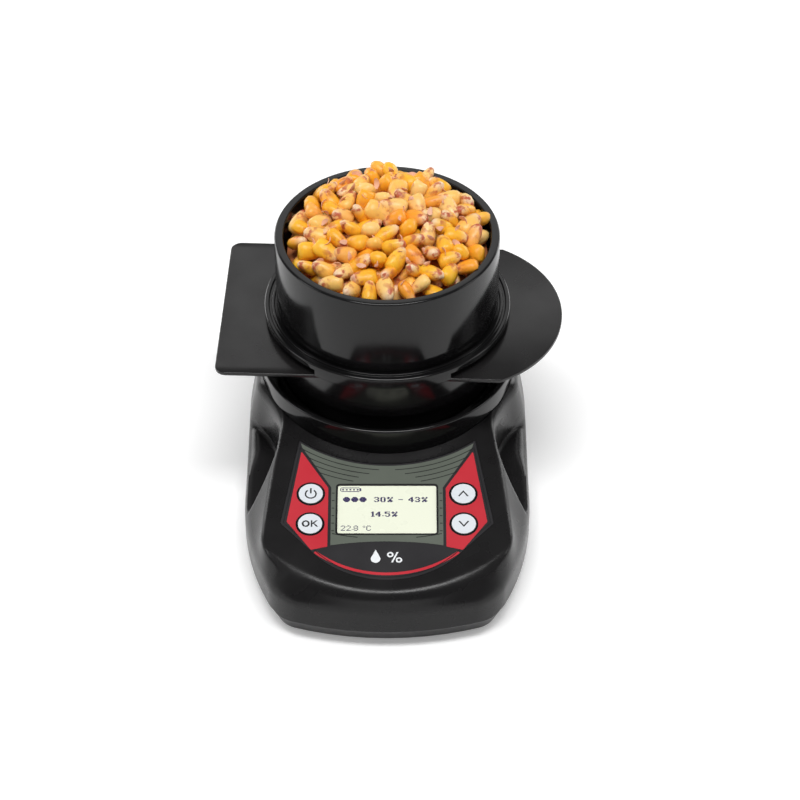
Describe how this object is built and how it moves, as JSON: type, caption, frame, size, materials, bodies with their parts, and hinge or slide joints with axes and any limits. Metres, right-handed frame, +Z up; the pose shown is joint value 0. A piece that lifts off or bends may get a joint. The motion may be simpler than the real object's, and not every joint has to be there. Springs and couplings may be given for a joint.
{
  "type": "grain moisture meter",
  "caption": "Bench grain moisture meter: round measuring chamber, lift-off filling hopper with a sliding knife plate, sloping console with display and keys.",
  "frame": {"origin": "on the axis of the measuring chamber, at the flat underside of the base", "axes": "+Z up along the chamber axis, -Y towards the user along the console, +X to the user's right"},
  "size_m": [0.1552, 0.2, 0.122],
  "materials": {
    "housing_black": "fine moulded texture, satin",
    "base_black": "fine moulded texture, satin",
    "chamber_black": "turned and polished",
    "hopper_black": "turned and polished",
    "knife_black": "smooth sheet, light scuffs",
    "foot_rubber": "matt",
    "screw_steel": "zinc plated",
    "electrode_metal": "turned",
    "insulator_white": "turned",
    "board_green": "solder mask",
    "display_body": "display cell",
    "display_pane": "clear pane over a lit display",
    "overlay_print": "printed film, satin",
    "switch_metal": "plated",
    "key_white": "printed film, satin",
    "cell_jacket": "printed jacket",
    "ribbon_grey": "flat cable"
  },
  "bodies": {
    "meter_body": {"upper_housing": "housing_black", "base_shell": "base_black", "rubber_feet": "foot_rubber", "case_screws": "screw_steel", "measuring_chamber": "chamber_black", "outer_electrode": "electrode_metal", "centre_electrode": "electrode_metal", "electrode_insulator": "insulator_white", "temperature_probe": "screw_steel", "sensor_board": "board_green", "main_board": "board_green", "board_screws": "screw_steel", "display_module": "display_body", "display_window": "display_pane", "keypad_overlay": "overlay_print", "key_switches": "switch_metal", "battery_cells": "cell_jacket", "battery_springs": "switch_metal", "battery_plates": "switch_metal", "ribbon_cable": "ribbon_grey"},
    "hopper": {"hopper_tube": "hopper_black", "slot_collar": "hopper_black"},
    "knife": {"knife_plate": "knife_black"},
    "battery_door": {"battery_door": "base_black"},
    "key_power": {"key_power": "key_white"},
    "key_ok": {"key_ok": "key_white"},
    "key_up": {"key_up": "key_white"},
    "key_down": {"key_down": "key_white"}
  },
  "joints": [
    {"name": "hopper_lift", "type": "slide", "parent": "meter_body", "child": "hopper", "axis": [0, 0, 1], "range_m": [0, 0.09]},
    {"name": "knife_slide", "type": "slide", "parent": "hopper", "child": "knife", "axis": [-0.9991, 0.0419, 0], "range_m": [0, 0.136]},
    {"name": "battery_door_hinge", "type": "hinge", "parent": "meter_body", "child": "battery_door", "pos_m": [0, -0.06045, 0.0012], "axis": [1, 0, 0], "range_deg": [0, 95]},
    {"name": "key_power_press", "type": "slide", "parent": "meter_body", "child": "key_power", "axis": [0, 0.1736, -0.9848], "range_m": [0, 0.0004], "stiffness_N_per_m": 1500},
    {"name": "key_ok_press", "type": "slide", "parent": "meter_body", "child": "key_ok", "axis": [0, 0.1736, -0.9848], "range_m": [0, 0.0004], "stiffness_N_per_m": 1500},
    {"name": "key_up_press", "type": "slide", "parent": "meter_body", "child": "key_up", "axis": [0, 0.1736, -0.9848], "range_m": [0, 0.0004], "stiffness_N_per_m": 1500},
    {"name": "key_down_press", "type": "slide", "parent": "meter_body", "child": "key_down", "axis": [0, 0.1736, -0.9848], "range_m": [0, 0.0004], "stiffness_N_per_m": 1500}
  ]
}
